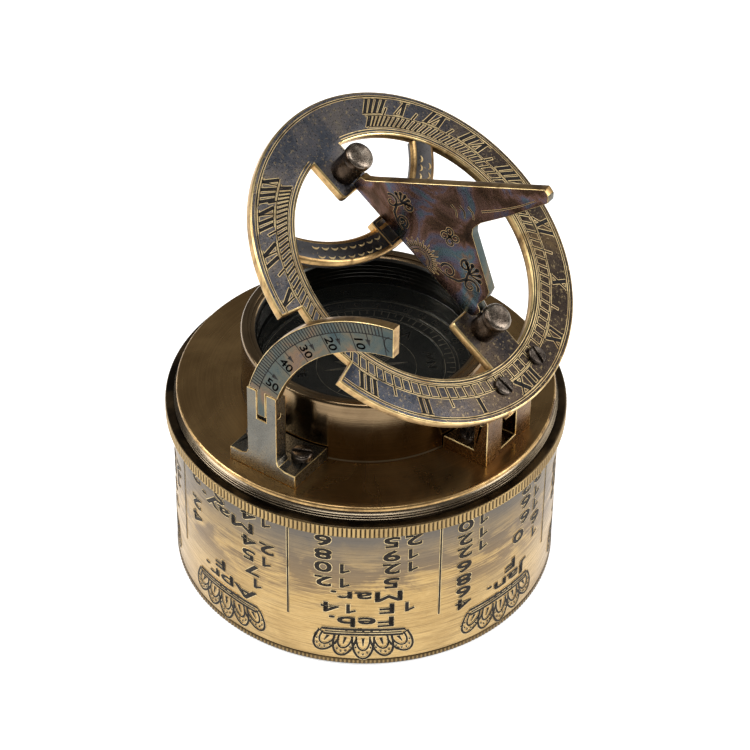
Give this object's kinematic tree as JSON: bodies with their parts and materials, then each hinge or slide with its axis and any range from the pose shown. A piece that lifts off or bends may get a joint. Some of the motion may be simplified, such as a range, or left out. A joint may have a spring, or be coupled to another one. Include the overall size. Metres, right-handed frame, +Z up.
{
  "type": "sundial compass",
  "caption": "Folding brass sundial compass: tilting hour ring with a plate gnomon and a latitude arc over a round magnetic compass, standing on its upturned deep round cover.",
  "frame": {"origin": "centre of the cover's closed end, the flat face that stands on the table", "axes": "+Z up, +Y towards the hinge of the hour ring (the noon side), +X towards the latitude post"},
  "size_m": [0.1016, 0.1016, 0.1339],
  "materials": {
    "cover_brass": "antiqued golden brass, brushed around",
    "dark_brass": "dark antiqued brass, knurled and threaded",
    "deck_bronze": "brown antiqued brass, spun brush marks",
    "housing_bronze": "brown antiqued brass, polished",
    "dial_black": "near-black with fine engraved lines",
    "bright_brass": "polished",
    "needle_green": "dark green-black, satin",
    "screw_bronze": "dark bronze, worn bright on the head",
    "pillar_bronze": "dark brown bronze, satin",
    "patina_brass": "blue-grey and lilac patina with golden edges",
    "gnomon_patina": "purple, blue and orange heat patina with golden edges",
    "glass": "clear"
  },
  "bodies": {
    "cover": {"cover_tube": "cover_brass", "cover_end": "cover_brass"},
    "base": {"base_ring": "dark_brass", "deck_plate": "deck_bronze", "compass_housing": "housing_bronze", "housing_screws": "screw_bronze", "compass_dial": "dial_black", "dial_sleeve": "dial_black", "compass_glass": "glass", "glass_sleeve": "dial_black", "needle_pivot": "bright_brass", "latitude_post": "deck_bronze", "post_screws": "screw_bronze", "arc_pin": "screw_bronze", "hinge_bracket": "deck_bronze", "bracket_screws": "screw_bronze", "hinge_pin": "screw_bronze"},
    "needle": {"compass_needle": "needle_green", "needle_cap": "bright_brass"},
    "arc": {"latitude_arc": "patina_brass"},
    "ring": {"hinge_tongue": "deck_bronze", "hour_ring": "patina_brass", "ring_screws": "screw_bronze", "north_pillar": "pillar_bronze", "south_pillar": "pillar_bronze", "pillar_screws": "screw_bronze", "gnomon_pins": "screw_bronze"},
    "gnomon": {"gnomon": "gnomon_patina"}
  },
  "joints": [
    {"name": "base_lift", "type": "slide", "parent": "cover", "child": "base", "axis": [0, 0, 1], "range_m": [0, 0.06]},
    {"name": "needle_spin", "type": "hinge", "parent": "base", "child": "needle", "pos_m": [0, 0, 0.0582], "axis": [0, 0, 1], "continuous": true},
    {"name": "arc_swing", "type": "hinge", "parent": "base", "child": "arc", "pos_m": [0.0423, 0, 0.0718], "axis": [0, -1, 0], "range_deg": [-85, 3]},
    {"name": "ring_tilt", "type": "hinge", "parent": "base", "child": "ring", "pos_m": [0, 0.0409, 0.0655], "axis": [-1, 0, 0], "range_deg": [-35, 85]},
    {"name": "gnomon_fold", "type": "hinge", "parent": "ring", "child": "gnomon", "pos_m": [0, 0.01597, 0.10103], "axis": [0, -0.8192, 0.5736], "range_deg": [0, 90]}
  ]
}
